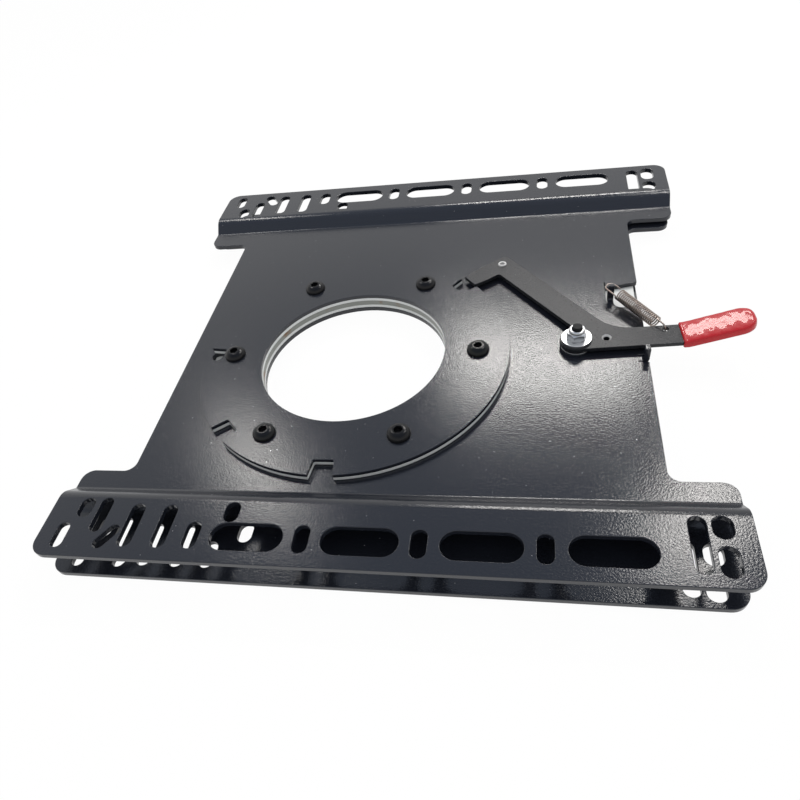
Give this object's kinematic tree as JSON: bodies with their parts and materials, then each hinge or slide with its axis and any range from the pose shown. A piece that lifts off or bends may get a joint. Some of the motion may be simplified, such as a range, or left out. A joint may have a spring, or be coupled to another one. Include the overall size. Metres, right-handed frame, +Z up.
{
  "type": "swivel seat base",
  "caption": "Swivel seat base: two slotted, joggled steel plates that turn on a clamped ring round a centre bore, with a sprung locking lever and a dipped grip.",
  "frame": {"origin": "on the swivel axis, at the underside of the lower plate's flat middle", "axes": "+Z up along the swivel axis, +X along the flanges towards the lever's handle, -Y towards the front flange"},
  "size_m": [0.4731, 0.448, 0.0362],
  "materials": {
    "powder_coat": "satin black powder coat",
    "nylon": "pale nylon",
    "bearing_steel": "bare oiled steel",
    "zinc": "bright zinc",
    "black_bolt": "black oxide",
    "black_plastic": "black nylon spacer",
    "red_vinyl": "glossy dipped vinyl",
    "spring_wire": "bare spring wire"
  },
  "bodies": {
    "base": {"lower_plate": "powder_coat", "lower_slide_ring": "nylon", "bearing_ring": "bearing_steel", "upper_slide_ring": "nylon", "locking_ring": "powder_coat", "glide_pad_front": "nylon", "glide_pad_rear": "nylon", "ring_bolt_1": "black_bolt", "ring_nut_1": "black_bolt", "ring_bolt_2": "black_bolt", "ring_nut_2": "black_bolt", "ring_bolt_3": "black_bolt", "ring_nut_3": "black_bolt", "ring_bolt_4": "black_bolt", "ring_nut_4": "black_bolt", "ring_bolt_5": "black_bolt", "ring_nut_5": "black_bolt", "ring_bolt_6": "black_bolt", "ring_nut_6": "black_bolt"},
    "turntable": {"upper_plate": "powder_coat", "pivot_stud": "zinc", "pivot_lower_washer": "zinc", "pivot_spacer": "black_plastic", "pivot_washer": "zinc", "pivot_nut": "zinc"},
    "latch_lever": {"lever": "powder_coat", "lever_grip": "red_vinyl", "latch_rivet": "zinc", "return_spring": "spring_wire"}
  },
  "joints": [
    {"name": "seat_swivel", "type": "hinge", "parent": "base", "child": "turntable", "pos_m": [0, 0, 0.0085], "axis": [0, 0, 1], "range_deg": [-180, 180]},
    {"name": "lever_pivot", "type": "hinge", "parent": "turntable", "child": "latch_lever", "pos_m": [0.17, 0.0095, 0.0147], "axis": [0, 0, 1], "range_deg": [-5.2, 6.2], "stiffness_Nm_per_rad": 2.5, "springref_deg": 17.19, "deforming": ["return_spring"]}
  ]
}
